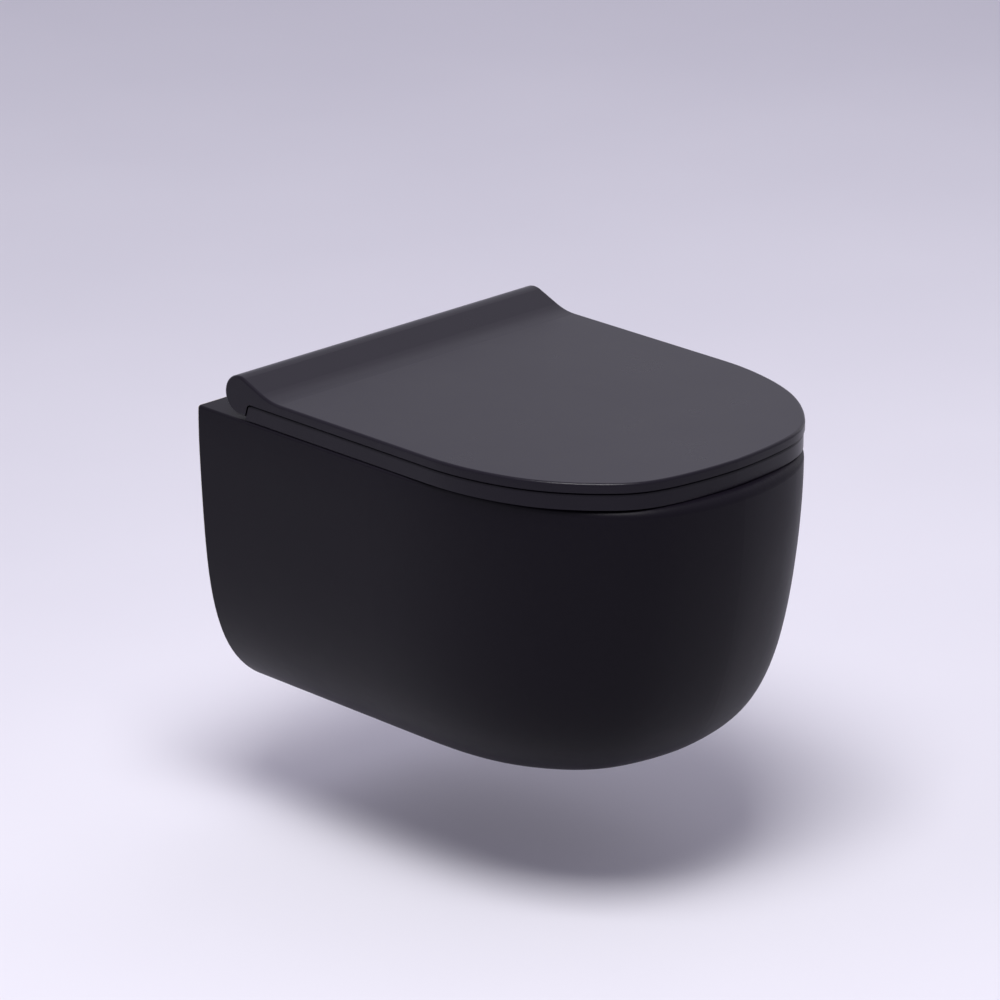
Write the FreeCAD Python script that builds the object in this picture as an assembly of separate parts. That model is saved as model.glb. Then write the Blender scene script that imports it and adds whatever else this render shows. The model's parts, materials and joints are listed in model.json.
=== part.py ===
import FreeCAD, Part
import math
import os

# Wall hung toilet with a thin soft-close seat and cover.
# Millimetres. +Z is up, the front looks along -Y, and the wall is the plane y = 0.
# The origin is on the wall, midway between the two wall studs.
# A "depth" is measured down from the flat top of the ceramic, a "height" up from it.

V = FreeCAD.Vector

# ---- driving dimensions ---------------------------------------------------------------

# wall connections
rim_over_studs = 85.0
stud_spacing = 180.0
stud_hole_radius = 6.5
inlet_depth = 50.0
outlet_depth = 185.0

# ceramic pan, outer form
pan_half_width = 186.0
pan_projection = 494.0
pan_height = 288.0
pan_straight_side = 219.0
side_lean = 24.0
side_corner = 78.0
side_power = 6.5
side_roundness = 1.6
front_lean = 55.0
front_corner = 168.0
front_power = 9.0
front_roundness = 2.9
plan_power_across = 2.37
plan_power_along = 2.52
rim_edge_radius_side = 2.5
rim_edge_radius_front = 9.0

# ceramic pan, walls
pan_wall = 11.0
deck_thickness = 14.0
bowl_wall = 9.5

# bowl: its oval mouth, and its oval sump
mouth_half_width = 146.0
mouth_back = 118.0
mouth_front = 452.0
sump_half_width = 36.0
sump_back = 188.0
sump_front = 268.0
sump_depth = 226.0
bowl_fullness = 0.62

# trapway and its outlet spigot
trap_bore_radius = 26.0
trap_dip_depth = 249.0
trap_apex_depth = 126.0
trap_start_forward = 24.0
trap_start_height = 36.0
trap_dip_run = 63.0
trap_apex_ahead = 57.0
trap_outlet_ahead = 5.0
trap_chamber_reach = 22.0
trap_bend_margin = 1.0
spigot_radius = 51.0
spigot_wall = 8.0
spigot_length = 40.0
connection_setback = 3.0
neck_step = 3.0

# flush inlet
inlet_bore_radius = 27.5
inlet_wall = 9.0
inlet_socket_length = 46.0
inlet_throat_radius = 19.0
inlet_throat_reach = 12.0
flush_pipe_radius = 22.5
seal_length = 36.0
seal_clearance = 0.1
seal_flange_width = 6.3
seal_groove_count = 3
seal_groove_pitch = 9.0
seal_groove_width = 4.0
seal_groove_depth = 1.5
seal_nose = 6.0

# seat and cover
lid_half_width = 185.4
lid_front = 484.0
lid_straight = 295.0
lid_power_across = 2.76
lid_power_along = 1.90
lid_top = 25.4
lid_thickness = 8.8
cover_wall = 4.2
lid_edge_radius = 2.4
seat_gap = 0.9
seat_inset = 1.0
seat_edge_radius = 2.4
seat_recess = 5.5
lip_width = 8.0
hole_half_width = 106.0
hole_back = 152.0
hole_front = 424.0
seat_end_y = 61.0
seat_end_lean = 17.0
seat_end_radius = 4.5

# hump along the back of the cover
hump_centre_y = 53.2
hump_centre_height = 22.1
hump_radius = 18.1
hump_slope = 22.0
hump_blend_radius = 62.0
hump_open_height = 22.0
hump_notch_height = 31.0
cheek_width = 11.0

# hinge
hinge_y = 45.0
hinge_height = 12.0
hinge_spacing = 155.0
knuckle_radius = 8.0
knuckle_length = 60.0
block_width = 22.0
side_clearance = 0.5
shaft_radius = 3.5
shaft_clearance = 0.05
shaft_grip = 5.0
damper_radius = 5.4
damper_length = 50.0
post_radius = 4.0
post_height = 17.0
post_groove = 0.9
post_collar_radius = 6.0
base_radius = 13.0
base_thickness = 3.0
button_radius = 3.0
button_length = 4.8
button_travel = 1.8
button_height = 8.0
collar_height = 1.2
damper_shaft_reach = 12.0
pin_reach = 24.0
pin_end_gap = 1.0
arm_setback = 3.0
foot_front = 9.0
foot_back = 6.5
foot_corner = 2.0
pin_grip_clearance = 0.02
button_web = 0.6
button_edge = 0.6
groove_flat = 2.0
groove_slope = 0.5
post_end_chamfer = 1.0
base_chamfer = 0.8
damper_inset = 1.0
damper_edge = 0.8

# seat fixing under the deck
fixing_hole_radius = 7.0
post_thread_length = 31.0
washer_radius = 12.0
steel_washer_radius = 11.0
rubber_washer_thickness = 3.0
steel_washer_thickness = 1.5
nut_radius = 8.0
nut_thickness = 7.0
fastener_clearance = 0.1

# hidden wall fixing
bracket_steel = 5.0
tongue_height = 14.0
tongue_length = 62.0
tongue_half_width = 14.0
bend_radius = 4.0
plate_edge = 20.0
plate_foot = 22.0
pad_thickness = 8.0
pad_inset = 1.0
pad_back = 20.0
pad_corner = 3.0
lug_thickness = 10.0
lug_length = 66.0
lug_margin = 3.5
lug_back_gap = 3.0
clamp_screw_radius = 4.0
clamp_head_radius = 6.5
clamp_head_height = 8.0
clamp_socket_radius = 3.5
clamp_socket_depth = 4.0
clamp_screw_end = 6.0

# rubber buffers
buffer_length = 30.0
buffer_width = 9.0
seat_pad_inset = 23.4
seat_pad_y = 262.0
seat_front_pad_x = 74.0
seat_front_pad_margin = 3.7
cover_pad_inset = 35.4
cover_pad_y = 300.0
cover_front_pad_x = 62.0
cover_front_pad_margin = 13.7
rest_gap = 0.3

# ---- values worked out from the above --------------------------------------------------

rim = rim_over_studs
pan_floor_depth = pan_height - pan_wall
seat_bottom = seat_gap
lid_bottom = lid_top - lid_thickness
seat_top = lid_bottom - seat_gap
axis_z = rim + hinge_height
hinge_x = hinge_spacing / 2
button_z = rim + button_height
block_inner = hinge_x - block_width / 2
block_outer = hinge_x + block_width / 2
trap_wall_radius = trap_bore_radius + bowl_wall
tongue_top = tongue_height + bracket_steel
lug_bottom = tongue_top + pad_thickness
lug_top = lug_bottom + lug_thickness
foot_low = rim + base_thickness + collar_height + rest_gap


# how far cutting solids run past what they cut
overrun = 5.0


# ---- small helpers ---------------------------------------------------------------------

def save(shape, node):
    """Write one sub-part as parts/NODE.step."""
    shape = shape.removeSplitter()
    if not shape.isValid():
        raise RuntimeError(node + " is not a valid solid")
    shape.exportStep("parts/" + node + ".step")


def rod(radius, start, end):
    """A solid cylinder between two points."""
    run = end - start
    return Part.makeCylinder(radius, run.Length, start, run)


def tube(outer, inner, start, end):
    return rod(outer, start, end).cut(rod(inner, start, end))


def block(x_low, x_high, y_low, y_high, z_low, z_high):
    """A box given by its lowest and highest corners."""
    size = (x_high - x_low, y_high - y_low, z_high - z_low)
    return Part.makeBox(*size, V(x_low, y_low, z_low))


def mirrored(shape):
    return shape.mirror(V(0, 0, 0), V(1, 0, 0))


def pair(shape):
    """A piece of the right side and its twin on the left, as one group of solids."""
    return Part.makeCompound([shape, mirrored(shape)])


def side_profile(wire, x_low, x_high):
    """Extrude a closed wire of the plane x = 0 across the width."""
    face = Part.Face(wire)
    face.translate(V(x_low, 0, 0))
    return face.extrude(V(x_high - x_low, 0, 0))


def rounded_path(points, radii):
    """Straight runs through the points, joined by a tangent arc of each radius."""
    edges = []
    start = points[0]
    for radius, before, corner, after in zip(radii, points, points[1:], points[2:]):
        back = (before - corner).normalize()
        ahead = (after - corner).normalize()
        half = back.getAngle(ahead) / 2
        reach = radius / math.tan(half)
        middle = (back + ahead).normalize()
        crest = corner + middle * (radius / math.sin(half) - radius)
        first, last = corner + back * reach, corner + ahead * reach
        edges.append(Part.makeLine(start, first))
        edges.append(Part.Arc(first, crest, last).toShape())
        start = last
    edges.append(Part.makeLine(start, points[-1]))
    return Part.Wire(edges)


# ---- the D-shaped outline shared by pan, seat and cover ---------------------------------

def front_half(half_width, straight, front, across, along, z, side):
    """The curve from the end of one straight side to the middle of the front."""
    points = []
    steps = 5
    for i in range(steps + 1):
        t = math.sin(math.pi / 2 * i / steps)
        x = half_width * max(0.0, 1 - t ** along) ** (1 / across)
        points.append(V(side * x, -(straight + t * (front - straight)), z))
    quarter = math.pi / 2
    curve = Part.BSplineCurve()
    curve.interpolate(
        Points=points, Parameters=[i / steps for i in range(steps + 1)],
        InitialTangent=V(0, quarter * (straight - front), 0),
        FinalTangent=V(-side * quarter * half_width, 0, 0), Scale=False,
    )
    return curve.toShape()


def d_front(half_width, straight, front, across, along, z):
    """The whole curved front, from its right end to its left end, as two edges."""
    right = front_half(half_width, straight, front, across, along, z, 1)
    left = front_half(half_width, straight, front, across, along, z, -1)
    left.reverse()
    return [right, left]


def d_outline(half_width, straight, front, across, along, z):
    """Straight back and sides, and a superelliptic front, as one closed wire."""
    right, left = d_front(half_width, straight, front, across, along, z)
    corner_right, corner_left = V(half_width, 0, z), V(-half_width, 0, z)
    side_right = Part.makeLine(corner_right, V(half_width, -straight, z))
    side_left = Part.makeLine(V(-half_width, -straight, z), corner_left)
    closing = Part.makeLine(corner_left, corner_right)
    return Part.Wire([side_right, right, left, side_left, closing])


# ---- ceramic pan ------------------------------------------------------------------------

def draw_in(share, lean, corner, power, roundness):
    """How far a wall has come in at this share of the height."""
    return lean * share ** 2 + corner * (1 - max(0.0, 1 - share ** power) ** (1 / roundness))


def pan_section(share, height, offset, z):
    """The pan's rounded front at a share of a height, drawn in by an offset."""
    half_width = pan_half_width - offset - draw_in(
        share, side_lean, side_corner, side_power, side_roundness
    )
    front = pan_projection - offset - draw_in(
        share, front_lean, front_corner, front_power, front_roundness
    )
    curve = d_front(half_width, pan_straight_side, front, plan_power_across, plan_power_along, z)
    left_end, right_end = V(-half_width, -pan_straight_side, z), V(half_width, -pan_straight_side, z)
    return Part.Wire(curve + [Part.makeLine(left_end, right_end)])


def pan_body(height, offset, top_z):
    """Loft of the front outlines, closest together where they turn under, run to the wall."""
    shares = (0.0, 0.25, 0.5, 0.7, 0.84, 0.93, 0.98, 0.9966, 1.0)
    wires = [pan_section(s, height, offset, top_z - s * height) for s in shares]
    front = Part.makeLoft(wires, True, False)
    joint = min(front.Faces, key=lambda face: face.BoundBox.YLength)
    sides = joint.extrude(V(0, pan_straight_side + overrun, 0))
    reach = pan_half_width + overrun
    behind_wall = block(
        -reach, reach, 0, 2 * overrun, top_z - height - overrun, top_z + overrun
    )
    return front.fuse(sides).cut(behind_wall)


def oval(depth, half_width, back, front):
    """A closed ellipse at a depth under the rim."""
    middle = -(back + front) / 2
    along = (front - back) / 2
    if along >= half_width:
        ellipse = Part.Ellipse(
            V(0, middle - along, rim - depth), V(half_width, middle, rim - depth),
            V(0, middle, rim - depth),
        )
    else:
        ellipse = Part.Ellipse(
            V(half_width, middle, rim - depth), V(0, middle - along, rim - depth),
            V(0, middle, rim - depth),
        )
    return Part.Wire(ellipse.toShape())


def bowl(offset, top_depth):
    """The bowl's oval loft; offset 0 is the inside, a wall thickness the outside."""
    wires = []
    shares = (0.0, 0.18, 0.4, 0.62, 0.82, 1.0)
    floor = sump_depth + offset
    for share in shares:
        blend = share ** (1 / bowl_fullness) if share < 1 else 1.0
        half_width = mouth_half_width + (sump_half_width - mouth_half_width) * blend
        back = mouth_back + (sump_back - mouth_back) * blend
        front = mouth_front + (sump_front - mouth_front) * blend
        depth = top_depth + share * (floor - top_depth)
        wires.append(oval(depth, half_width + offset, back - offset, front + offset))
    return Part.makeLoft(wires, True, False)


def trap_path():
    """Centre line of the trapway, from inside the sump over the crown to the outlet."""
    dip, outlet = rim - trap_dip_depth, rim - outlet_depth
    sump_middle = (sump_back + sump_front) / 2
    chamber_y = connection_setback + spigot_length
    points = [
        V(0, -sump_middle - trap_start_forward, rim - sump_depth + trap_start_height),
        V(0, -sump_middle, dip),
        V(0, -sump_middle + trap_dip_run, dip),
        V(0, -chamber_y - trap_apex_ahead, rim - trap_apex_depth),
        V(0, -chamber_y - trap_outlet_ahead, outlet),
        V(0, -chamber_y + trap_chamber_reach, outlet),
    ]
    return rounded_path(points, [trap_wall_radius + trap_bend_margin] * (len(points) - 2))


def trapway(radius):
    """The round passage of one radius along the trap path."""
    path = trap_path()
    start = path.Edges[0]
    direction = start.tangentAt(start.FirstParameter)
    ring = Part.Wire(Part.makeCircle(radius, start.valueAt(start.FirstParameter), direction))
    return path.makePipeShell([ring], True, False)


def rounded(shape, radii_of):
    """Fillet the edges for which radii_of gives a start and an end radius."""
    document = FreeCAD.newDocument("rounding")
    base = document.addObject("Part::Feature", "base")
    base.Shape = shape
    fillet = document.addObject("Part::Fillet", "fillet")
    fillet.Base = base
    chosen = []
    for number, edge in enumerate(shape.Edges, 1):
        radii = radii_of(edge)
        if radii:
            chosen.append((number,) + radii)
    fillet.Edges = chosen
    document.recompute()
    result = fillet.Shape.copy()
    FreeCAD.closeDocument(document.Name)
    return result


def rim_radii(edge):
    """Small along the sides of the pan's top, growing to the middle of the front."""
    ends = [edge.valueAt(p) for p in (edge.FirstParameter, edge.LastParameter)]
    across = abs(ends[0].y - ends[1].y) < 0.01
    if across or any(abs(p.z - rim) > 0.01 for p in ends):
        return None
    return tuple(
        rim_edge_radius_front if abs(p.x) < 0.01 else rim_edge_radius_side for p in ends
    )


def flush_horn(grow, mouth_y):
    """Socket and throat of the flush inlet, from its mouth into the bowl."""
    z = rim - inlet_depth
    start = V(0, mouth_y, z)
    shoulder = V(0, -connection_setback - inlet_socket_length, z)
    end = V(0, -mouth_back - inlet_throat_reach, z)
    socket = rod(inlet_bore_radius + grow, start, shoulder)
    throat = rod(inlet_throat_radius + grow, shoulder, end)
    return socket.fuse(throat)


def outlet_chamber(radius, mouth_y):
    """The wide end of the outlet, as deep as the spigot."""
    z = rim - outlet_depth
    return rod(radius, V(0, mouth_y, z), V(0, -connection_setback - spigot_length, z))


def outlet_neck():
    """The end wall of the outlet's wide part, where the trapway comes in."""
    z = rim - outlet_depth
    start = V(0, -connection_setback - spigot_length, z)
    return rod(spigot_radius - neck_step, start, start - V(0, spigot_wall, 0))


def hidden_lugs():
    """Shelves inside the skirt that rest on the wall brackets."""
    lug = block(
        hinge_x - tongue_half_width - lug_margin, pan_half_width,
        -lug_length, -bracket_steel - lug_back_gap, lug_bottom, lug_top,
    )
    return lug.fuse(mirrored(lug))


def vertical_hole(radius, z_low, z_high):
    """A hole on the hinge line, on the right and on the left."""
    hole = rod(radius, V(hinge_x, -hinge_y, z_low), V(hinge_x, -hinge_y, z_high))
    return pair(hole)


def pan_shell():
    """The casting's skirt, floor and deck, with the lugs inside it."""
    outside = rounded(pan_body(pan_height, 0, rim), rim_radii)
    hollow = pan_body(pan_floor_depth - deck_thickness, pan_wall, rim - deck_thickness)
    return outside.cut(hollow).fuse(hidden_lugs().common(outside))


def ceramic_pan(shell, bowl_body):
    """The shell with the bowl's place and the two seat-fixing holes cut out."""
    holes = vertical_hole(fixing_hole_radius, lug_bottom - overrun, rim + overrun)
    return shell.cut(bowl_body).cut(holes)


def ceramic_bowl(bowl_body):
    """The cup, open to the trapway below and to the flush inlet behind."""
    cup = bowl_body.cut(bowl(0, -1))
    return cup.cut(trapway(trap_bore_radius)).cut(flush_horn(0, pan_wall))


def ceramic_trapway(shell, bowl_body):
    """The passage from the cup over its crown to the outlet spigot."""
    walls = trapway(trap_wall_radius).fuse([
        outlet_chamber(spigot_radius, -connection_setback), outlet_neck(),
    ])
    walls = walls.cut(bowl_body).cut(shell)
    wide_end = outlet_chamber(spigot_radius - spigot_wall, pan_wall)
    return walls.cut(trapway(trap_bore_radius)).cut(wide_end)


def ceramic_flush_horn(shell, bowl_body):
    """The socket for the flush pipe and its throat to the cup."""
    walls = flush_horn(inlet_wall, -connection_setback)
    return walls.cut(bowl_body).cut(shell).cut(flush_horn(0, pan_wall))


# ---- seat and cover ---------------------------------------------------------------------

def lid_plate(inset, z_low, z_high):
    """The D-shaped plan of seat and cover, drawn in by an inset, as a plate."""
    outline = d_outline(
        lid_half_width - inset, lid_straight, lid_front - inset,
        lid_power_across, lid_power_along, z_low,
    )
    return Part.Face(outline).extrude(V(0, 0, z_high - z_low))


def lid_front_at(inset, x):
    """How far forward the drawn-in plan of seat and cover reaches at a distance from the middle."""
    share = x / (lid_half_width - inset)
    reach = (1 - share ** lid_power_across) ** (1 / lid_power_along)
    return lid_straight + reach * (lid_front - inset - lid_straight)


def seat_hole(grow, z_low, z_high):
    """The oval opening of the seat, as a cutting solid."""
    middle = -(hole_back + hole_front) / 2
    along = (hole_front - hole_back) / 2 + grow
    ellipse = Part.Ellipse(
        V(0, middle - along, z_low), V(hole_half_width + grow, middle, z_low),
        V(0, middle, z_low),
    )
    return Part.Face(Part.Wire(ellipse.toShape())).extrude(V(0, 0, z_high - z_low))


def seat_envelope(gap, height):
    """The space of the seat seen from the side, with its leaning rear end, plus a gap."""
    lean = math.tan(math.radians(seat_end_lean))
    z_low, z_high = rim + seat_bottom - overrun, rim + height
    y_low = -seat_end_y + gap + lean * overrun
    y_high = y_low - lean * (z_high - z_low)
    y_front = -lid_front - overrun
    wire = Part.makePolygon([
        V(0, y_low, z_low), V(0, y_high, z_high), V(0, y_front, z_high),
        V(0, y_front, z_low), V(0, y_low, z_low),
    ])
    reach = lid_half_width + overrun
    solid = side_profile(wire, -reach, reach)
    corner = [
        e for e in solid.Edges
        if on_level(e, z_high) and abs(e.BoundBox.YMax - y_high) < 0.01
        and e.BoundBox.XLength > reach
    ]
    return solid.makeFillet(seat_end_radius + gap, corner)


def knuckle(x_low, x_high, radius):
    """A round boss on the hinge line."""
    return rod(radius, V(x_low, -hinge_y, axis_z), V(x_high, -hinge_y, axis_z))


def barrel(side, first_x, bore_radius, bore_depth, arm):
    """A hinge barrel that starts beside a block, with the arm that carries it.

    side is -1 for a barrel that runs towards the middle, 1 for one that runs outwards.
    arm gives the arm's front, back, low and high.
    """
    last_x = first_x + side * knuckle_length
    x_low, x_high = min(first_x, last_x), max(first_x, last_x)
    boss = knuckle(x_low, x_high, knuckle_radius)
    boss = boss.fuse(block(x_low, x_high, *arm))
    bore_end = first_x + side * bore_depth
    start = min(first_x - side * overrun, bore_end)
    bore = knuckle(start, max(first_x - side * overrun, bore_end), bore_radius)
    return boss, bore


def on_level(edge, z):
    """True for an edge that lies flat at a height."""
    box = edge.BoundBox
    return abs(box.ZMin - z) < 0.01 and abs(box.ZMax - z) < 0.01


def hump_points(offset):
    """Points of the cover's side outline, drawn in by an offset."""
    slope = math.radians(hump_slope)
    radius = hump_radius - offset
    blend_radius = hump_blend_radius + offset
    centre = V(0, -hump_centre_y, rim + hump_centre_height)
    flat = rim + lid_top - offset
    slope_high = centre + V(0, -radius * math.sin(slope), radius * math.cos(slope))
    down = V(0, -math.cos(slope), -math.sin(slope))
    foot = slope_high + down * ((slope_high.z - flat) / math.sin(slope))
    reach = blend_radius * math.tan(slope / 2)
    flat_end = foot + V(0, -reach, 0)
    blend_middle = V(0, math.sin(slope / 2), -math.cos(slope / 2)) * blend_radius
    return {
        "front": V(0, -lid_front - overrun, flat),
        "flat_end": flat_end,
        "blend": flat_end + V(0, 0, blend_radius) + blend_middle,
        "slope_low": foot - down * reach,
        "slope_high": slope_high,
        "top": centre + V(0, radius * math.sin(slope), radius * math.cos(slope)),
        "back": centre + V(0, radius, 0),
        "low_back": centre + V(0, radius * math.sqrt(0.5), -radius * math.sqrt(0.5)),
        "lowest": centre + V(0, 0, -radius),
    }


def cover_section(offset, z_bottom=None):
    """Side outline of the cover, or of its hollow where a bottom is given."""
    p = hump_points(offset)
    edges = [
        Part.makeLine(p["front"], p["flat_end"]),
        Part.Arc(p["flat_end"], p["blend"], p["slope_low"]).toShape(),
        Part.makeLine(p["slope_low"], p["slope_high"]),
        Part.Arc(p["slope_high"], p["top"], p["back"]).toShape(),
    ]
    if z_bottom is None:
        edges.append(Part.Arc(p["back"], p["low_back"], p["lowest"]).toShape())
        last = p["lowest"]
    else:
        last = V(0, p["back"].y, z_bottom)
        edges.append(Part.makeLine(p["back"], last))
    corner = V(0, p["front"].y, last.z)
    edges.append(Part.makeLine(last, corner))
    edges.append(Part.makeLine(corner, p["front"]))
    return Part.Wire(edges)


def cover_top_edge(edge):
    """True for the outer edge that runs round the cover's top and down its cheeks."""
    box = edge.BoundBox
    across = box.YLength < 0.01 and box.ZLength < 0.01
    on_side = box.XLength < 0.01 and box.YMax > -lid_straight - 0.01
    on_front = on_level(edge, rim + lid_top)
    under = box.ZMax < rim + lid_top - 0.01 and box.YMax < -hump_centre_y + 0.01
    return not across and not under and (on_side or on_front)


def cover_shell():
    """The cover before its hinge barrels: lid, hump and cheeks, hollow below."""
    z_low, z_high = rim, rim + hump_centre_height + hump_radius + overrun
    solid = side_profile(cover_section(0), -lid_half_width, lid_half_width)
    solid = solid.common(lid_plate(0, z_low, z_high))
    solid = solid.makeFillet(lid_edge_radius, [e for e in solid.Edges if cover_top_edge(e)])
    solid = solid.cut(seat_envelope(seat_gap, lid_bottom))
    inner = lid_half_width - cheek_width
    hollow = side_profile(cover_section(cover_wall, z_low - overrun), -inner, inner)
    hollow = hollow.common(lid_plate(lip_width, z_low - overrun, z_high))
    solid = solid.cut(hollow)
    open_back = block(
        -inner, inner, -hump_centre_y, 0, z_low - overrun, rim + hump_open_height
    )
    solid = solid.cut(open_back)
    reach = block_width / 2 + 2 * side_clearance
    notch = block(
        hinge_x - reach, hinge_x + reach, -hump_centre_y, 0, rim, rim + hump_notch_height
    )
    return solid.cut(pair(notch))


def lid_cover():
    """Cover with a barrel outside each hinge block; the right one holds the damper."""
    first = block_outer + side_clearance
    z_roof = rim + hump_centre_height + hump_radius - cover_wall / 2
    arm = (-hinge_y - knuckle_radius, -hinge_y + knuckle_radius - arm_setback, axis_z, z_roof)
    right, right_bore = barrel(
        1, first, damper_radius + shaft_clearance, damper_length + 2 * damper_inset, arm
    )
    left, left_bore = barrel(1, first, shaft_radius + shaft_clearance, pin_reach, arm)
    shell = cover_shell()
    outer = side_profile(cover_section(0, rim - overrun), -lid_half_width, lid_half_width)
    arms = right.fuse(mirrored(left)).common(outer)
    return shell.fuse(arms).cut(right_bore).cut(mirrored(left_bore))


def seat_ring():
    """Seat: a thin ring with rounded edges, lips below, and two hinge barrels."""
    z_low, z_high = rim + seat_bottom, rim + seat_top
    ring = lid_plate(seat_inset, z_low, z_high)
    ring = ring.cut(seat_hole(0, z_low - overrun, z_high + overrun))
    rounded_edges = [
        e for e in ring.Edges if on_level(e, z_high) and e.BoundBox.YMin < -0.01
    ]
    ring = ring.makeFillet(seat_edge_radius, rounded_edges)
    ring = ring.common(seat_envelope(0, seat_top))
    recess = lid_plate(seat_inset + lip_width, z_low - overrun, z_low + seat_recess)
    recess = recess.cut(seat_hole(lip_width, z_low - 2 * overrun, z_high))
    recess = recess.cut(block(
        -lid_half_width, lid_half_width, -seat_end_y - 2 * lip_width, overrun,
        z_low - overrun, z_high,
    ))
    ring = ring.cut(recess)
    first = block_inner - side_clearance
    arm = (
        -seat_end_y - lip_width, -hinge_y,
        axis_z - knuckle_radius + 1, rim + seat_top - seat_edge_radius,
    )
    left, left_bore = barrel(
        -1, first, damper_radius + shaft_clearance, damper_length + 2 * damper_inset, arm
    )
    right, right_bore = barrel(-1, first, shaft_radius + shaft_clearance, pin_reach, arm)
    ring = ring.fuse([mirrored(left), right])
    return ring.cut(mirrored(left_bore)).cut(right_bore)


def buffer_pad(x, y, along_x, z_low, z_high):
    """A rubber pad with rounded ends, lying across or along."""
    half_x, half_y = buffer_width / 2, buffer_length / 2
    if along_x:
        half_x, half_y = half_y, half_x
    pad = block(x - half_x, x + half_x, y - half_y, y + half_y, z_low, z_high)
    upright = [e for e in pad.Edges if e.BoundBox.ZLength > z_high - z_low - 0.01]
    return pad.makeFillet(buffer_width * 0.45, upright)


def buffers(side_x, side_y, front_x, front_y, z_low, z_high):
    """Two pads along the sides and two across the front."""
    side = buffer_pad(side_x, -side_y, False, z_low, z_high)
    front = buffer_pad(front_x, -front_y, True, z_low, z_high)
    return Part.makeCompound([side, front, mirrored(side), mirrored(front)])


def seat_buffers():
    """Pads between the seat's recess and the ceramic."""
    front_edge = lid_front_at(seat_inset + lip_width, seat_front_pad_x + buffer_length / 2)
    return buffers(
        lid_half_width - seat_pad_inset, seat_pad_y,
        seat_front_pad_x, front_edge - seat_front_pad_margin - buffer_width / 2,
        rim + rest_gap, rim + seat_bottom + seat_recess,
    )


def cover_buffers():
    """Pads between the cover's hollow and the seat."""
    front_edge = lid_front_at(lip_width, cover_front_pad_x + buffer_length / 2)
    return buffers(
        lid_half_width - cover_pad_inset, cover_pad_y,
        cover_front_pad_x, front_edge - cover_front_pad_margin - buffer_width / 2,
        rim + seat_top + rest_gap, rim + lid_top - cover_wall,
    )


# ---- hinge hardware -----------------------------------------------------------------------

def hinge_block():
    """Right-hand hinge body: sits on the post, carries the shafts and the button."""
    head = knuckle(block_inner, block_outer, knuckle_radius)
    y_front, y_back = -hinge_y - foot_front, -hinge_y + foot_back
    foot = block(block_inner, block_outer, y_front, y_back, foot_low, axis_z)
    upright = [e for e in foot.Edges if e.BoundBox.ZLength > 1]
    foot = foot.makeFillet(foot_corner, upright)
    below = block(
        block_inner - overrun, block_outer + overrun,
        -hinge_y - 2 * knuckle_radius, -hinge_y + 2 * knuckle_radius, rim, foot_low,
    )
    body = head.cut(below).fuse(foot)
    bore = rod(
        post_radius + shaft_clearance, V(hinge_x, -hinge_y, rim),
        V(hinge_x, -hinge_y, rim + post_height + rest_gap),
    )
    pocket = rod(
        button_radius + shaft_clearance, V(hinge_x, y_front - overrun, button_z),
        V(hinge_x, -hinge_y - post_radius - button_web, button_z),
    )
    body = body.cut(bore).cut(pocket)
    for x_open, x_blind in (
        (block_inner - overrun, block_inner + shaft_grip),
        (block_outer - shaft_grip, block_outer + overrun),
    ):
        body = body.cut(knuckle(x_open, x_blind, shaft_radius + pin_grip_clearance))
    return body


def hinge_base():
    """Round stainless plate on the deck, with a chamfered rim."""
    low, high = V(hinge_x, -hinge_y, rim), V(hinge_x, -hinge_y, rim + base_thickness)
    plate = rod(base_radius, low, high)
    top_edge = [e for e in plate.Edges if on_level(e, rim + base_thickness)]
    plate = plate.makeChamfer(base_chamfer, top_edge)
    return plate.cut(rod(post_radius + fastener_clearance, low, high))


def hinge_post():
    """Turned pin: thread below the deck, collar on the base, grooved post above."""
    z_collar = rim + base_thickness
    neck_radius = post_radius - post_groove
    half_flat = groove_flat / 2
    half_groove = half_flat + groove_slope
    outline = [
        (0, rim - post_thread_length), (post_radius, rim - post_thread_length),
        (post_radius, z_collar), (post_collar_radius, z_collar),
        (post_collar_radius, z_collar + collar_height), (post_radius, z_collar + collar_height),
        (post_radius, button_z - half_groove), (neck_radius, button_z - half_flat),
        (neck_radius, button_z + half_flat), (post_radius, button_z + half_groove),
        (post_radius, rim + post_height - post_end_chamfer),
        (post_radius - post_end_chamfer, rim + post_height),
        (0, rim + post_height), (0, rim - post_thread_length),
    ]
    wire = Part.makePolygon([V(hinge_x + r, -hinge_y, z) for r, z in outline])
    return Part.Face(wire).revolve(V(hinge_x, -hinge_y, 0), V(0, 0, 1), 360)


def release_button():
    """Round push button in the front of the block."""
    inner = -hinge_y - post_radius - button_web - button_travel - rest_gap
    button = rod(
        button_radius, V(hinge_x, inner - button_length, button_z), V(hinge_x, inner, button_z)
    )
    outer_edge = [e for e in button.Edges if abs(e.BoundBox.YMax - inner + button_length) < 0.01]
    return button.makeChamfer(button_edge, outer_edge)


def shaft(side, reach):
    """A steel pin held in the right block, running inwards (-1) or outwards (1)."""
    if side < 0:
        return knuckle(block_inner - side_clearance - reach, block_inner + shaft_grip, shaft_radius)
    return knuckle(block_outer - shaft_grip, block_outer + side_clearance + reach, shaft_radius)


def damper(side):
    """The soft-close cartridge in a barrel beside the right block."""
    face = block_outer + side_clearance if side > 0 else block_inner - side_clearance
    start, end = face + side * damper_inset, face + side * (damper_inset + damper_length)
    body = knuckle(min(start, end), max(start, end), damper_radius)
    body = body.makeChamfer(damper_edge, [e for e in body.Edges if e.BoundBox.XLength < 0.01])
    inner = face + side * (damper_shaft_reach + damper_inset)
    return body.cut(knuckle(min(face, inner), max(face, inner), shaft_radius + shaft_clearance))


# ---- fixings ---------------------------------------------------------------------------------

def ring_on_post(outer, inner, z_low, thickness):
    """A washer or bush on the hinge post's line, on both sides."""
    low, high = V(hinge_x, -hinge_y, z_low), V(hinge_x, -hinge_y, z_low + thickness)
    return pair(tube(outer, inner, low, high))


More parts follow.
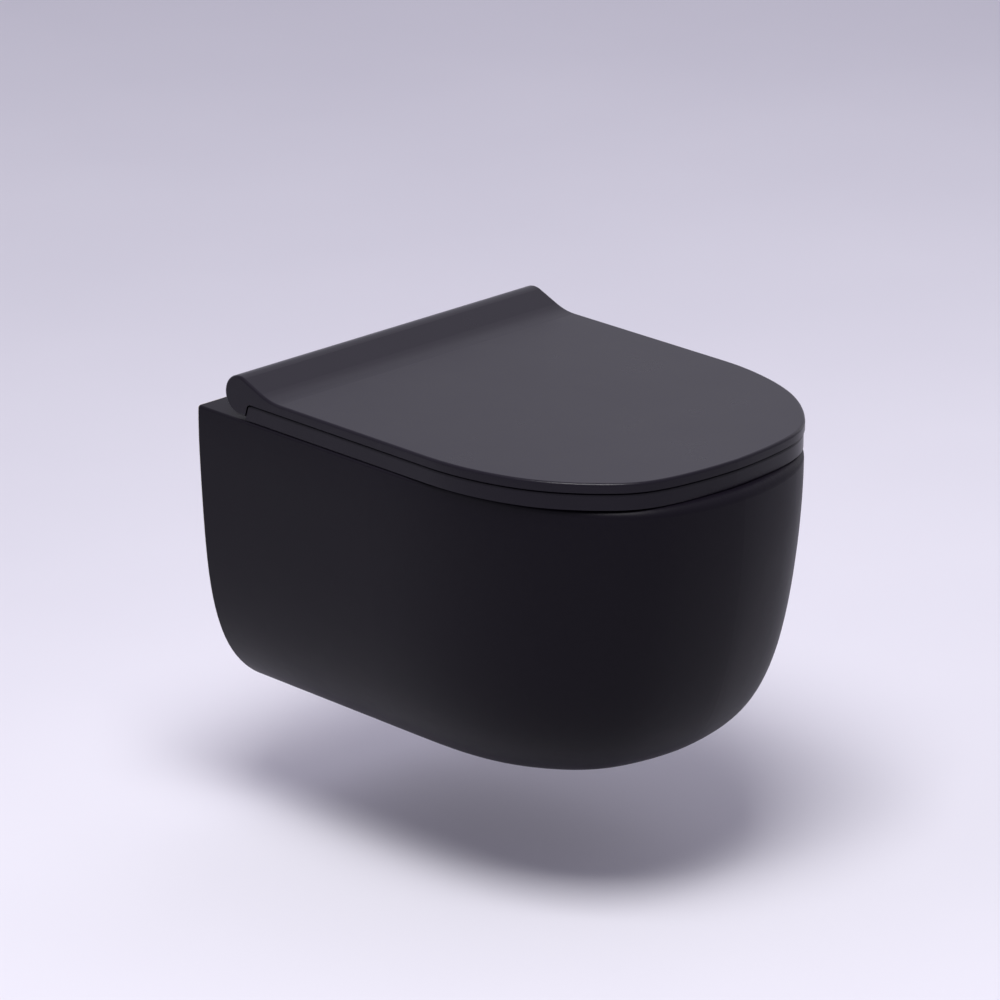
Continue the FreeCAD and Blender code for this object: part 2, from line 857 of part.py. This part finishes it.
def hexagon(radius, z):
    """A flat six-sided face on the hinge post's line."""
    corners = []
    for i in range(7):
        angle = math.radians(60 * i)
        corners.append(V(
            hinge_x + radius * math.cos(angle), -hinge_y + radius * math.sin(angle), z
        ))
    return Part.Face(Part.makePolygon(corners))


def fixing_nuts(z_low):
    """Hexagon nuts under the deck."""
    nut = hexagon(nut_radius, z_low).extrude(V(0, 0, nut_thickness))
    hole = rod(
        post_radius + shaft_clearance, V(hinge_x, -hinge_y, z_low),
        V(hinge_x, -hinge_y, z_low + nut_thickness),
    )
    return pair(nut.cut(hole))


def wall_bracket():
    """Right steel bracket: a plate on the wall stud and a tongue under the pan's lug."""
    stud_x = stud_spacing / 2
    x_inner, x_outer = hinge_x - tongue_half_width, hinge_x + tongue_half_width
    plate = block(x_inner, stud_x + plate_edge, -bracket_steel, 0, -plate_foot, tongue_top)
    tongue = block(x_inner, x_outer, -tongue_length, 0, tongue_height, tongue_top)
    bracket = plate.fuse(tongue)
    bend = [
        e for e in bracket.Edges
        if e.BoundBox.XLength > tongue_half_width and on_level(e, tongue_height)
        and abs(e.BoundBox.YMax + bracket_steel) < 0.01
    ]
    bracket = bracket.makeFillet(bend_radius, bend)
    stud_hole = rod(stud_hole_radius, V(stud_x, -bracket_steel, 0), V(stud_x, 0, 0))
    screw_hole = rod(
        clamp_screw_radius + fastener_clearance, V(hinge_x, -hinge_y, 0),
        V(hinge_x, -hinge_y, tongue_top),
    )
    return bracket.cut(stud_hole).cut(screw_hole)


def bearing_pads():
    """Plastic pads between the brackets' tongues and the ceramic lugs."""
    half_width = tongue_half_width - pad_inset
    pad = block(
        hinge_x - half_width, hinge_x + half_width, -tongue_length + 2 * pad_inset, -pad_back,
        tongue_top, lug_bottom,
    )
    upright = [e for e in pad.Edges if e.BoundBox.ZLength > 1]
    pad = pad.makeFillet(pad_corner, upright)
    hole = rod(
        clamp_screw_radius + fastener_clearance, V(hinge_x, -hinge_y, tongue_height),
        V(hinge_x, -hinge_y, lug_top),
    )
    return pair(pad.cut(hole))


def clamp_screws():
    """Socket screws that clamp the lugs down on the brackets."""
    seat_z = lug_top + steel_washer_thickness
    foot = V(hinge_x, -hinge_y, tongue_height - clamp_screw_end)
    shoulder = V(hinge_x, -hinge_y, seat_z)
    top = V(hinge_x, -hinge_y, seat_z + clamp_head_height)
    screw = rod(clamp_screw_radius, foot, shoulder).fuse(rod(clamp_head_radius, shoulder, top))
    socket = hexagon(clamp_socket_radius, top.z - clamp_socket_depth)
    return pair(screw.cut(socket.extrude(V(0, 0, clamp_head_height))))


def inlet_seal():
    """Rubber collar in the flush inlet: lips grip the pipe, a flange meets the horn."""
    z = rim - inlet_depth
    mouth, inner = -connection_setback, -connection_setback - seal_length
    outer_radius = inlet_bore_radius - seal_clearance
    collar = tube(outer_radius, flush_pipe_radius, V(0, inner, z), V(0, mouth, z))
    flange = tube(
        inlet_bore_radius + seal_flange_width, flush_pipe_radius,
        V(0, mouth, z), V(0, -rest_gap, z),
    )
    seal = collar.fuse(flange)
    for i in range(seal_groove_count):
        y = inner + seal_nose + seal_groove_pitch * i
        groove = tube(
            inlet_bore_radius + seal_flange_width, outer_radius - seal_groove_depth,
            V(0, y, z), V(0, y + seal_groove_width, z),
        )
        seal = seal.cut(groove)
    return seal


# ---- write every sub-part ------------------------------------------------------------------------

os.makedirs("parts", exist_ok=True)

casting_shell = pan_shell()
bowl_outside = bowl(bowl_wall, 0)
save(ceramic_pan(casting_shell, bowl_outside), "ceramic_pan")
save(ceramic_bowl(bowl_outside), "ceramic_bowl")
save(ceramic_trapway(casting_shell, bowl_outside), "ceramic_trapway")
save(ceramic_flush_horn(casting_shell, bowl_outside), "ceramic_flush_horn")
save(seat_ring(), "seat_ring")
save(lid_cover(), "lid_cover")
save(seat_buffers(), "seat_buffers")
save(cover_buffers(), "cover_buffers")

for side_name, place in (("right", lambda shape: shape), ("left", mirrored)):
    save(place(hinge_base()), "hinge_base_" + side_name)
    save(place(hinge_post()), "hinge_post_" + side_name)
    save(place(hinge_block()), "hinge_block_" + side_name)
    save(place(release_button()), "release_button_" + side_name)
    save(place(wall_bracket()), "wall_bracket_" + side_name)

save(mirrored(damper(-1)), "seat_damper")
save(mirrored(shaft(-1, damper_shaft_reach)), "seat_damper_shaft")
save(shaft(-1, pin_reach - pin_end_gap), "seat_hinge_pin")
save(damper(1), "cover_damper")
save(shaft(1, damper_shaft_reach), "cover_damper_shaft")
save(mirrored(shaft(1, pin_reach - pin_end_gap)), "cover_hinge_pin")

post_hole_radius = post_radius + fastener_clearance
deck_under = rim - deck_thickness
rubber_low = deck_under - rubber_washer_thickness
steel_low = rubber_low - steel_washer_thickness
bushes = ring_on_post(
    fixing_hole_radius - fastener_clearance, post_hole_radius,
    deck_under, deck_thickness - rest_gap,
)
rubber_washers = ring_on_post(
    washer_radius, post_hole_radius, rubber_low, rubber_washer_thickness
)
steel_washers = ring_on_post(
    steel_washer_radius, post_hole_radius, steel_low, steel_washer_thickness
)
clamp_washers = ring_on_post(
    steel_washer_radius, clamp_screw_radius + fastener_clearance, lug_top, steel_washer_thickness
)
save(bushes, "centring_bushes")
save(rubber_washers, "rubber_washers")
save(steel_washers, "steel_washers")
save(fixing_nuts(steel_low - nut_thickness), "fixing_nuts")
save(bearing_pads(), "bearing_pads")
save(clamp_screws(), "clamp_screws")
save(clamp_washers, "clamp_washers")
save(inlet_seal(), "inlet_seal")
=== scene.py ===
import json
import math

import bpy
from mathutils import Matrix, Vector

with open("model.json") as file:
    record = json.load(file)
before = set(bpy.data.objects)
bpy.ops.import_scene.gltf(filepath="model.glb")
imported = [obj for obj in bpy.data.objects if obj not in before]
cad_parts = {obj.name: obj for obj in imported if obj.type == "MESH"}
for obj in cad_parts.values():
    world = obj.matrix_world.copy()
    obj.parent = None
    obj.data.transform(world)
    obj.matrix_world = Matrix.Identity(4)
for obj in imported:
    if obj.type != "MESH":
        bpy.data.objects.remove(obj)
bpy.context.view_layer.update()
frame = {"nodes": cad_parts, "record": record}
nodes = frame["nodes"]

# Metres. The origin is on the wall midway between the studs, and the front looks along -Y.
RIM = 0.085
RIM_OVER_FLOOR = 0.396
FLOOR = RIM - RIM_OVER_FLOOR
FLOOR_REACH = 9

# Nearly all values of a noise lie in this span.
NOISE_LOW, NOISE_HIGH = 0.3, 0.7

# Where the casting is left unglazed.
HOLLOW_CENTRE = (0, -0.22, -0.05)
WALL_FACE_DEPTH = 0.0004
LUG_HALF_WIDTH = 0.172
LUG_BACK, LUG_FRONT = 0.0, -0.080
LUG_LOW, LUG_HIGH = 0.020, 0.045
CUP_CENTRE = (0, -0.26, 0.02)
RIM_MARGIN = 0.0005
TRAP_DIP_BACK = -0.175
TRAP_DIP_DEPTH = 0.249
TRAP_SKIN_RADIUS = 0.031
INLET_DEPTH = 0.050
THROAT_SKIN_RADIUS = 0.0235

# Each lamp: name, place, aim, width and height, watts, colour.
LAMPS = (
    ("key", (-0.85, -0.95, 2.6), (0, -0.25, 0), (1.3, 1.3), 80, (0.98, 0.965, 1.0)),
    ("back", (1.9, 0.6, 2.1), (0, -0.2, 0.05), (2.0, 2.0), 5, (0.92, 0.89, 1.0)),
    ("right", (2.0, -0.3, 0.6), (0.1, -0.3, 0), (0.8, 1.4), 2, (1.0, 0.98, 1.0)),
)

CAMERA_AIM = (-0.44647, -0.64834, 0.23113)
CAMERA_AZIMUTH = -44.526
CAMERA_ELEVATION = 20.113
CAMERA_DISTANCE = 4.339
CAMERA_LENS = 201.7
CAMERA_SENSOR = 36.0


# ---- node helpers --------------------------------------------------------------------------

def new_material(name):
    """A node material with nothing but a shader and an output in it."""
    material = bpy.data.materials.new(name)
    material.use_nodes = True
    tree = material.node_tree
    tree.nodes.clear()
    output = tree.nodes.new("ShaderNodeOutputMaterial")
    shader = tree.nodes.new("ShaderNodeBsdfPrincipled")
    tree.links.new(shader.outputs["BSDF"], output.inputs["Surface"])
    return material, tree, shader


def math_node(tree, operation, *values):
    """A math node fed by outputs of other nodes, by numbers, or by both."""
    node = tree.nodes.new("ShaderNodeMath")
    node.operation = operation
    for slot, value in enumerate(values):
        if hasattr(value, "is_output"):
            tree.links.new(value, node.inputs[slot])
        else:
            node.inputs[slot].default_value = value
    return node.outputs[0]


def place(tree):
    """Where the point is on the object, in metres; it moves with the piece."""
    return tree.nodes.new("ShaderNodeTexCoord").outputs["Object"]


def along(tree, axis):
    """One coordinate of the point on the object."""
    split = tree.nodes.new("ShaderNodeSeparateXYZ")
    tree.links.new(place(tree), split.inputs["Vector"])
    return split.outputs[axis]


def noise(tree, scale, detail=3.0, roughness=0.55, stretch=None):
    """Soft noise in the object's own space, optionally stretched along its axes."""
    source = place(tree)
    if stretch:
        mapping = tree.nodes.new("ShaderNodeMapping")
        mapping.inputs["Scale"].default_value = stretch
        tree.links.new(source, mapping.inputs["Vector"])
        source = mapping.outputs["Vector"]
    node = tree.nodes.new("ShaderNodeTexNoise")
    node.inputs["Scale"].default_value = scale
    node.inputs["Detail"].default_value = detail
    node.inputs["Roughness"].default_value = roughness
    tree.links.new(source, node.inputs["Vector"])
    return node.outputs["Fac"]


def ramp(tree, value, stops):
    """A colour that follows a value through stops of (position, colour)."""
    node = tree.nodes.new("ShaderNodeValToRGB")
    band = node.color_ramp
    while len(band.elements) < len(stops):
        band.elements.new(0.5)
    for element, (position, colour) in zip(band.elements, stops):
        element.position = position
        element.color = (*colour, 1.0)
    tree.links.new(value, node.inputs["Fac"])
    return node.outputs["Color"]


def shades(tree, value, dark, light):
    """Turn a noise into a colour between a dark and a light one."""
    return ramp(tree, value, [(NOISE_LOW, dark), (NOISE_HIGH, light)])


def spread(tree, value, low, high):
    """Turn a noise into a number between a low and a high one."""
    node = tree.nodes.new("ShaderNodeMapRange")
    node.inputs["From Min"].default_value = NOISE_LOW
    node.inputs["From Max"].default_value = NOISE_HIGH
    node.inputs["To Min"].default_value = low
    node.inputs["To Max"].default_value = high
    tree.links.new(value, node.inputs["Value"])
    return node.outputs["Result"]


def seen_share(tree):
    """1 for rays that show a thing to the eye, also in a gloss or through glass, else 0."""
    path = tree.nodes.new("ShaderNodeLightPath")
    shown = math_node(tree, "MAXIMUM", path.outputs["Is Camera Ray"], path.outputs["Is Glossy Ray"])
    return math_node(tree, "MAXIMUM", shown, path.outputs["Is Transmission Ray"])


def surface(name, dark, light, rough_low, rough_high, grain, cloud, grain_depth,
            metallic=0.0, specular=0.5, stretch=None):
    """A moulded, cast or drawn surface: cloudy colour and gloss over a fine grain."""
    material, tree, shader = new_material(name)
    clouds = noise(tree, cloud, 4.0)
    fine = noise(tree, grain, 2.0, 0.6, stretch)
    tree.links.new(shades(tree, clouds, dark, light), shader.inputs["Base Color"])
    tree.links.new(spread(tree, clouds, rough_low, rough_high), shader.inputs["Roughness"])
    shader.inputs["Metallic"].default_value = metallic
    shader.inputs["Specular IOR Level"].default_value = specular
    bump = tree.nodes.new("ShaderNodeBump")
    bump.inputs["Strength"].default_value = 0.2
    bump.inputs["Distance"].default_value = grain_depth
    tree.links.new(fine, bump.inputs["Height"])
    tree.links.new(bump.outputs["Normal"], shader.inputs["Normal"])
    return material


# ---- black glaze, and the bare ceramic body where there is none ------------------------------

def blend_in(tree, shader, socket, other, share):
    """Mix another value or colour into what feeds a socket, by a 0 to 1 share."""
    node = tree.nodes.new("ShaderNodeMix")
    node.data_type = "RGBA"
    first = shader.inputs[socket].links[0].from_socket
    tree.links.new(first, node.inputs["A"])
    tree.links.new(other, node.inputs["B"])
    tree.links.new(share, node.inputs["Factor"])
    tree.links.new(node.outputs["Result"], shader.inputs[socket])


def turned_to(tree, centre):
    """1 where the surface faces a point on the object, and 0 where it faces away."""
    texture = tree.nodes.new("ShaderNodeTexCoord")
    away = tree.nodes.new("ShaderNodeVectorMath")
    away.operation = "SUBTRACT"
    tree.links.new(texture.outputs["Object"], away.inputs[0])
    away.inputs[1].default_value = centre
    dot = tree.nodes.new("ShaderNodeVectorMath")
    dot.operation = "DOT_PRODUCT"
    tree.links.new(texture.outputs["Normal"], dot.inputs[0])
    tree.links.new(away.outputs["Vector"], dot.inputs[1])
    return math_node(tree, "LESS_THAN", dot.outputs["Value"], 0.0)


def between(tree, axis, low, high):
    """1 where a coordinate lies in a range."""
    return math_node(tree, "COMPARE", along(tree, axis), (low + high) / 2, (high - low) / 2)


def beyond(tree, height, radius):
    """1 where the point is further than a radius from the line x = 0 at a height."""
    up = math_node(tree, "SUBTRACT", along(tree, "Z"), height)
    squares = math_node(tree, "MULTIPLY", up, up)
    across = along(tree, "X")
    squares = math_node(tree, "MULTIPLY_ADD", across, across, squares)
    return math_node(tree, "GREATER_THAN", squares, radius ** 2)


def bare_shell(tree):
    """The hollow behind the skirt with its lugs, and the ground face against the wall."""
    inside = turned_to(tree, HOLLOW_CENTRE)
    against_wall = math_node(tree, "GREATER_THAN", along(tree, "Y"), -WALL_FACE_DEPTH)
    lugs = math_node(tree, "MULTIPLY", between(tree, "X", -LUG_HALF_WIDTH, LUG_HALF_WIDTH),
                     between(tree, "Z", LUG_LOW, LUG_HIGH))
    lugs = math_node(tree, "MULTIPLY", lugs, between(tree, "Y", LUG_FRONT, LUG_BACK))
    return math_node(tree, "MAXIMUM", math_node(tree, "MAXIMUM", inside, against_wall), lugs)


def bare_cup(tree):
    """The outside of the cup, below the rim."""
    outside = math_node(tree, "SUBTRACT", 1.0, turned_to(tree, CUP_CENTRE))
    below_rim = math_node(tree, "LESS_THAN", along(tree, "Z"), RIM - RIM_MARGIN)
    return math_node(tree, "MULTIPLY", outside, below_rim)


def bare_trapway(tree):
    """All but the inside of the dip, which is looked into from the cup."""
    past_dip = math_node(tree, "GREATER_THAN", along(tree, "Y"), TRAP_DIP_BACK)
    return math_node(tree, "MAXIMUM", past_dip,
                     beyond(tree, RIM - TRAP_DIP_DEPTH, TRAP_SKIN_RADIUS))


def bare_horn(tree):
    """All but the throat, which is looked into from the cup."""
    return beyond(tree, RIM - INLET_DEPTH, THROAT_SKIN_RADIUS)


def glaze(name, unglazed):
    """Matt black glaze; unglazed gives the share of bare ceramic body at each point."""
    material = surface(
        name, (0.0036, 0.0025, 0.0056), (0.0047, 0.0034, 0.0070), 0.42, 0.47,
        grain=900, cloud=7, grain_depth=0.00004, specular=0.12,
    )
    tree = material.node_tree
    shader = next(node for node in tree.nodes if node.type == "BSDF_PRINCIPLED")
    share = unglazed(tree)
    body = shades(tree, noise(tree, 60, 5.0), (0.50, 0.46, 0.40), (0.62, 0.58, 0.51))
    blend_in(tree, shader, "Base Color", body, share)
    rough = spread(tree, noise(tree, 35), 0.75, 0.88)
    blend_in(tree, shader, "Roughness", rough, share)
    return material


# ---- materials of the pieces -----------------------------------------------------------------

ceramic_nodes = {
    "ceramic_pan": glaze("matt_black_glaze_shell", bare_shell),
    "ceramic_bowl": glaze("matt_black_glaze_cup", bare_cup),
    "ceramic_trapway": glaze("matt_black_glaze_trapway", bare_trapway),
    "ceramic_flush_horn": glaze("matt_black_glaze_horn", bare_horn),
}
finish = {
    "seat_black": surface(
        "satin_black_thermoset", (0.0053, 0.0036, 0.0084), (0.0067, 0.0049, 0.0102), 0.27, 0.31,
        grain=1600, cloud=12, grain_depth=0.00003, specular=0.20,
    ),
    "rubber": surface(
        "black_rubber", (0.016, 0.016, 0.016), (0.026, 0.025, 0.025), 0.6, 0.75,
        grain=1200, cloud=60, grain_depth=0.0001,
    ),
    "steel": surface(
        "turned_steel", (0.52, 0.51, 0.50), (0.66, 0.65, 0.64), 0.2, 0.32,
        grain=700, cloud=90, grain_depth=0.00003, metallic=1.0, stretch=(1, 1, 8),
    ),
    "block_metal": surface(
        "polished_hinge_metal", (0.60, 0.60, 0.61), (0.68, 0.68, 0.69), 0.10, 0.18,
        grain=500, cloud=80, grain_depth=0.00002, metallic=1.0,
    ),
    "bracket_paint": surface(
        "zinc_plated_steel", (0.42, 0.42, 0.40), (0.58, 0.58, 0.60), 0.35, 0.5,
        grain=300, cloud=45, grain_depth=0.00005, metallic=1.0,
    ),
    "white_plastic": surface(
        "natural_nylon", (0.62, 0.61, 0.56), (0.72, 0.71, 0.67), 0.4, 0.5,
        grain=900, cloud=60, grain_depth=0.00005,
    ),
    "damper_plastic": surface(
        "black_acetal", (0.022, 0.022, 0.024), (0.032, 0.032, 0.034), 0.38, 0.48,
        grain=1300, cloud=90, grain_depth=0.00004,
    ),
}
for entry in frame["record"]["subparts"]:
    mesh = nodes[entry["node"]].data
    mesh.materials.clear()
    mesh.materials.append(ceramic_nodes.get(entry["node"]) or finish[entry["material_slot"]])


# ---- floor ---------------------------------------------------------------------------------

floor_mesh = bpy.data.meshes.new("floor")
floor_corners = [
    (-FLOOR_REACH, -FLOOR_REACH, FLOOR), (FLOOR_REACH, -FLOOR_REACH, FLOOR),
    (FLOOR_REACH, FLOOR_REACH, FLOOR), (-FLOOR_REACH, FLOOR_REACH, FLOOR),
]
floor_mesh.from_pydata(floor_corners, [], [(0, 1, 2, 3)])
floor = bpy.data.objects.new("floor", floor_mesh)
bpy.context.scene.collection.objects.link(floor)

# It looks pale, and throws only a little light back up on the object.
floor_material, tree, shader = new_material("pale_floor")
pale = shades(tree, noise(tree, 1.2), (0.735, 0.73, 0.765), (0.775, 0.77, 0.80))
colour = tree.nodes.new("ShaderNodeMix")
colour.data_type = "RGBA"
colour.inputs["A"].default_value = (0.12, 0.12, 0.13, 1)
tree.links.new(pale, colour.inputs["B"])
tree.links.new(seen_share(tree), colour.inputs["Factor"])
tree.links.new(colour.outputs["Result"], shader.inputs["Base Color"])
shader.inputs["Roughness"].default_value = 0.9
shader.inputs["Specular IOR Level"].default_value = 0.2
floor.data.materials.append(floor_material)


# ---- light -----------------------------------------------------------------------------------

world = bpy.data.worlds.new("studio")
bpy.context.scene.world = world
world.use_nodes = True
tree = world.node_tree
tree.nodes.clear()
seen = tree.nodes.new("ShaderNodeBackground")
seen.inputs["Color"].default_value = (0.66, 0.645, 0.74, 1)

# As a light, the world is brightest behind the object and to its right, and dark in front.
lit = tree.nodes.new("ShaderNodeBackground")
direction = tree.nodes.new("ShaderNodeTexCoord").outputs["Generated"]
parts = tree.nodes.new("ShaderNodeSeparateXYZ")
tree.links.new(direction, parts.inputs["Vector"])
towards_wall = math_node(tree, "MULTIPLY_ADD", parts.outputs["X"], -0.25, parts.outputs["Y"])
towards_right = math_node(tree, "MULTIPLY_ADD", parts.outputs["X"], 0.75, -0.1)
brighter = math_node(tree, "MAXIMUM", towards_wall, towards_right)
around = ramp(tree, math_node(tree, "MULTIPLY_ADD", brighter, 0.5, 0.5), [
    (0.15, (0.030, 0.027, 0.042)), (0.5, (0.17, 0.16, 0.21)), (0.85, (0.86, 0.82, 1.0)),
])
tree.links.new(around, lit.inputs["Color"])
mix = tree.nodes.new("ShaderNodeMixShader")
output = tree.nodes.new("ShaderNodeOutputWorld")
tree.links.new(seen_share(tree), mix.inputs["Fac"])
tree.links.new(lit.outputs["Background"], mix.inputs[1])
tree.links.new(seen.outputs["Background"], mix.inputs[2])
tree.links.new(mix.outputs["Shader"], output.inputs["Surface"])

for name, location, target, size, watts, lamp_colour in LAMPS:
    data = bpy.data.lights.new(name, "AREA")
    data.shape = "RECTANGLE"
    data.size, data.size_y = size
    data.energy = watts
    data.color = lamp_colour
    lamp = bpy.data.objects.new(name, data)
    lamp.location = location
    lamp.rotation_euler = (Vector(target) - Vector(location)).to_track_quat("-Z", "Y").to_euler()
    bpy.context.scene.collection.objects.link(lamp)


# ---- camera ----------------------------------------------------------------------------------

camera_data = bpy.data.cameras.new("camera")
camera_data.sensor_width = CAMERA_SENSOR
camera_data.lens = CAMERA_LENS
camera = bpy.data.objects.new("camera", camera_data)
bpy.context.scene.collection.objects.link(camera)
aim = Vector(CAMERA_AIM)
azimuth, elevation = math.radians(CAMERA_AZIMUTH), math.radians(CAMERA_ELEVATION)
camera.location = aim + CAMERA_DISTANCE * Vector((
    math.sin(azimuth) * math.cos(elevation), -math.cos(azimuth) * math.cos(elevation),
    math.sin(elevation),
))
camera.rotation_euler = (aim - camera.location).to_track_quat("-Z", "Y").to_euler()
bpy.context.scene.camera = camera
bpy.context.scene.view_settings.view_transform = "Standard"
